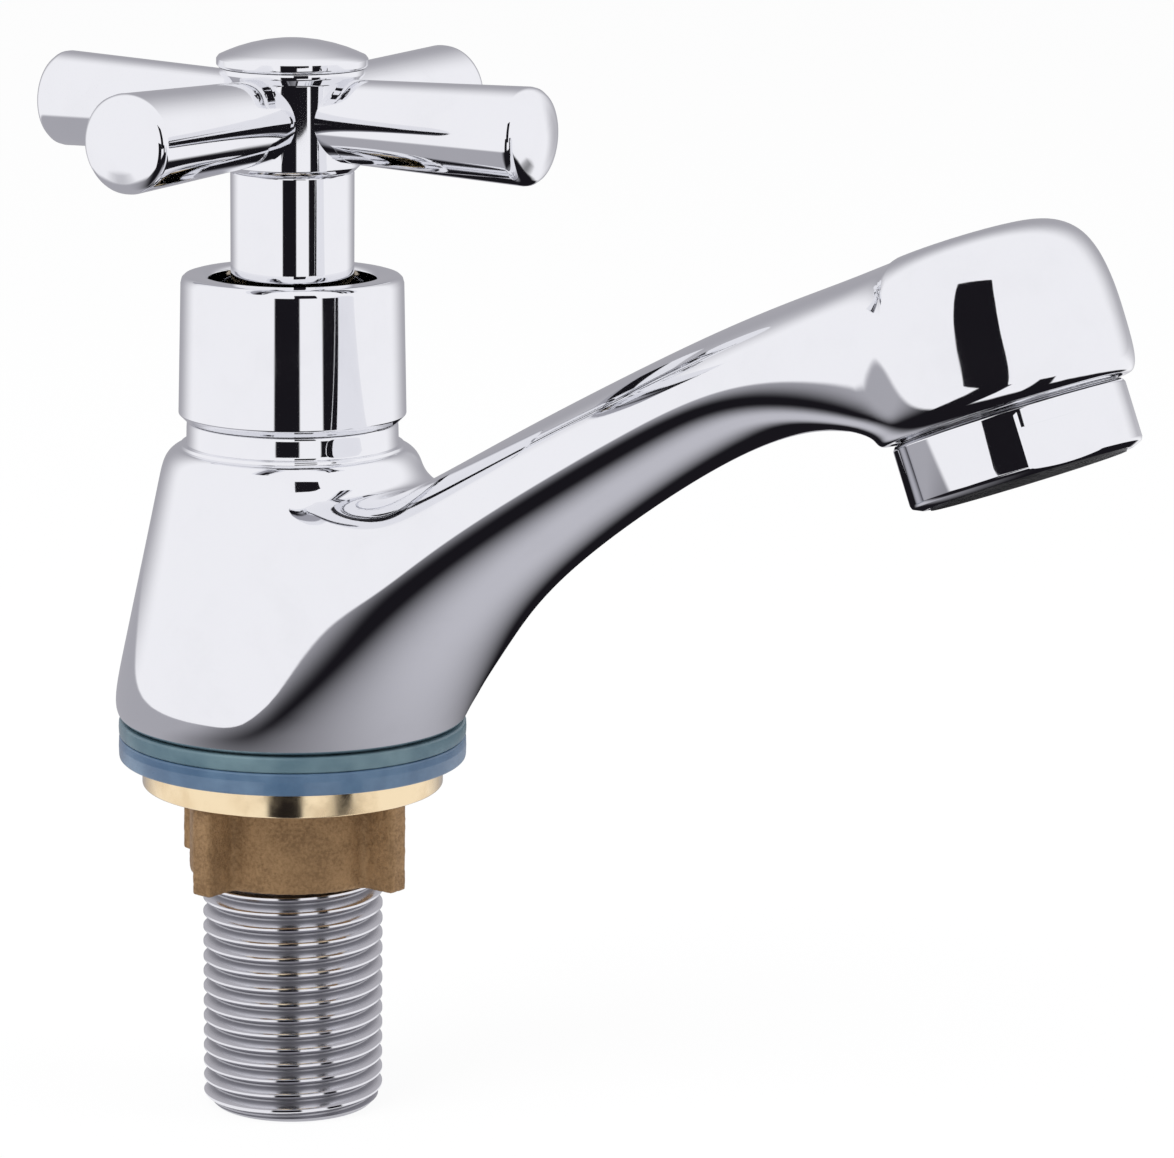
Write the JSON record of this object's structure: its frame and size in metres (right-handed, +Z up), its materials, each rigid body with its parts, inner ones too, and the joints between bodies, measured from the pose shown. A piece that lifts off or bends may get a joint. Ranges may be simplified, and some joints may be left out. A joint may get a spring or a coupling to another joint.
{
  "type": "basin pillar tap",
  "caption": "Chrome basin pillar tap for one supply: conical body with a rising spout, cross handle on a ceramic-disc headwork, aerator, threaded tail with deck washers and back nut.",
  "frame": {"origin": "on the valve's axis at the top of the deck the tap stands on, where the upper rubber ring rests", "axes": "+Z up along the valve's axis, +X along the spout towards the outlet"},
  "size_m": [0.1445, 0.0666, 0.1249],
  "materials": {
    "body_chrome": "polished chrome plate on cast brass",
    "trim_chrome": "polished chrome plate",
    "handle_chrome": "polished chrome plate",
    "tail_chrome": "chrome plate on a cut thread",
    "nut_brass": "turned flange, rough cast lugs",
    "valve_brass": "turned",
    "gasket_blue": "translucent blue, satin",
    "washer_blue": "deep blue, satin",
    "seal_rubber": "matt black",
    "disc_ceramic": "ground white",
    "white_plastic": "moulded white",
    "black_plastic": "moulded black",
    "steel": "plain stainless"
  },
  "bodies": {
    "tap": {"tap_body": "body_chrome", "inlet_shank": "tail_chrome", "tail_seal": "seal_rubber", "deck_gasket": "gasket_blue", "headwork_body": "valve_brass", "headwork_gasket": "seal_rubber", "seat_seal": "seal_rubber", "fixed_disc": "disc_ceramic", "headwork_shroud": "trim_chrome"},
    "handle": {"cross_handle": "handle_chrome", "stem_sleeve": "trim_chrome", "handle_cap": "handle_chrome", "cap_ring": "seal_rubber", "handle_screw": "steel", "spindle": "valve_brass", "spindle_o_rings": "seal_rubber", "spindle_clip": "steel", "thrust_washer": "white_plastic", "moving_disc": "disc_ceramic"},
    "washer": {"under_deck_washer": "washer_blue"},
    "nut": {"back_nut": "nut_brass"},
    "aerator_core": {"aerator_cage": "black_plastic", "outlet_grid": "black_plastic", "aerator_screens": "steel", "flow_plate": "white_plastic", "aerator_seal": "seal_rubber"},
    "aerator_ring": {"aerator_housing": "trim_chrome"}
  },
  "joints": [
    {"name": "handle_turn", "type": "hinge", "parent": "tap", "child": "handle", "pos_m": [0, 0, 0.06], "axis": [0, 0, 1], "range_deg": [0, 90]},
    {"name": "washer_slide", "type": "slide", "parent": "tap", "child": "washer", "axis": [0, 0, 1], "range_m": [-0.0245, 0]},
    {"name": "nut_turn", "type": "hinge", "parent": "washer", "child": "nut", "pos_m": [0, 0, -0.01], "axis": [0, 0, 1], "range_deg": [-4860, 0]},
    {"name": "aerator_slide", "type": "slide", "parent": "tap", "child": "aerator_core", "axis": [-0.3795, 0, 0.9252], "range_m": [-0.00501, 0]},
    {"name": "aerator_turn", "type": "hinge", "parent": "aerator_core", "child": "aerator_ring", "pos_m": [0.0972, 0, 0.0493], "axis": [-0.3795, 0, 0.9252], "range_deg": [-1800, 0]}
  ],
  "couplings": [
    {"joint": "washer_slide", "follows": "nut_turn", "m_per_rad": 0.00028871},
    {"joint": "aerator_slide", "follows": "aerator_turn", "m_per_rad": 0.00015915}
  ]
}
